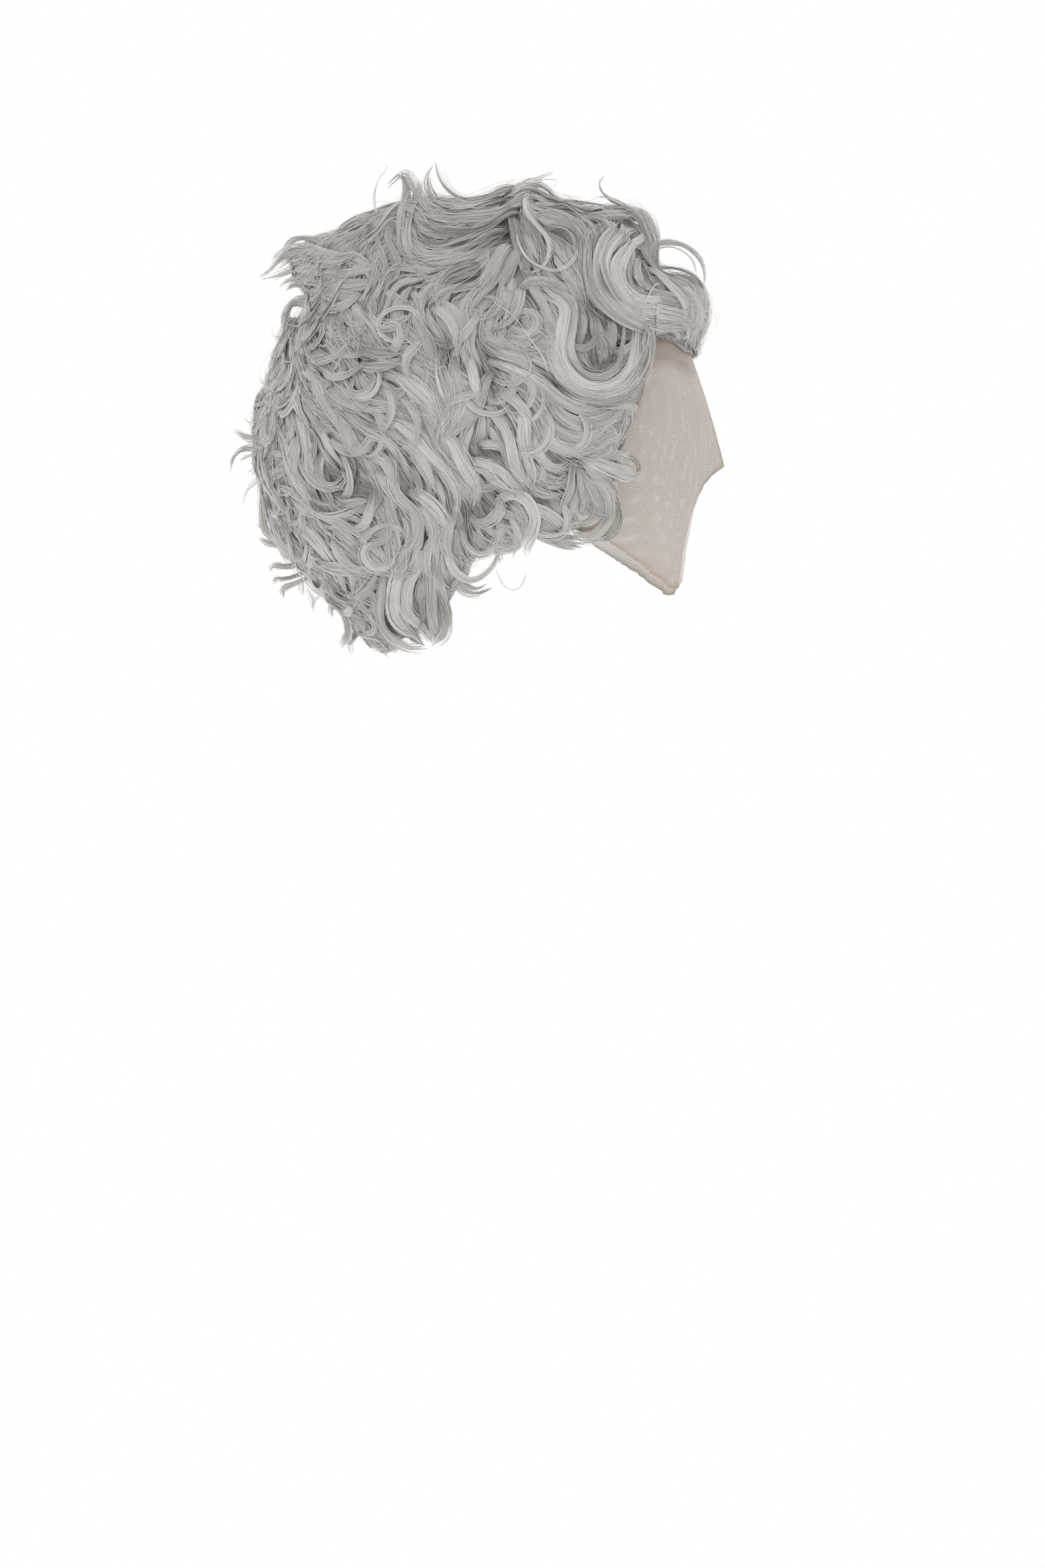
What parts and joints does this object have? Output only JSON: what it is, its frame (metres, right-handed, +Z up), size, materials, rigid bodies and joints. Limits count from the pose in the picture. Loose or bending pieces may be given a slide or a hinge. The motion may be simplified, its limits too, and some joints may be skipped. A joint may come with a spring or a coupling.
{
  "type": "lace front wig",
  "caption": "Short curly silver wig: hair in sections on a fitted net cap, with an untrimmed lace panel that hangs from the hairline over the face.",
  "frame": {"origin": "the crown of the head, on the inside of the cap, where a head carries the wig", "axes": "+Z up, -Y the way the wearer faces, +X the wearer's left"},
  "size_m": [0.2598, 0.2876, 0.2909],
  "materials": {
    "cap_net": "knitted stretch net, beige, matt",
    "lace": "fine hexagonal net, pale pinkish beige, see-through",
    "hair": "silver-white synthetic hair fibre, satin"
  },
  "bodies": {
    "root": {"cap": "cap_net", "lace_front": "lace", "hair_crown": "hair", "hair_front": "hair", "hair_side_right": "hair", "hair_side_left": "hair", "hair_back_upper": "hair", "hair_nape": "hair"}
  },
  "joints": []
}
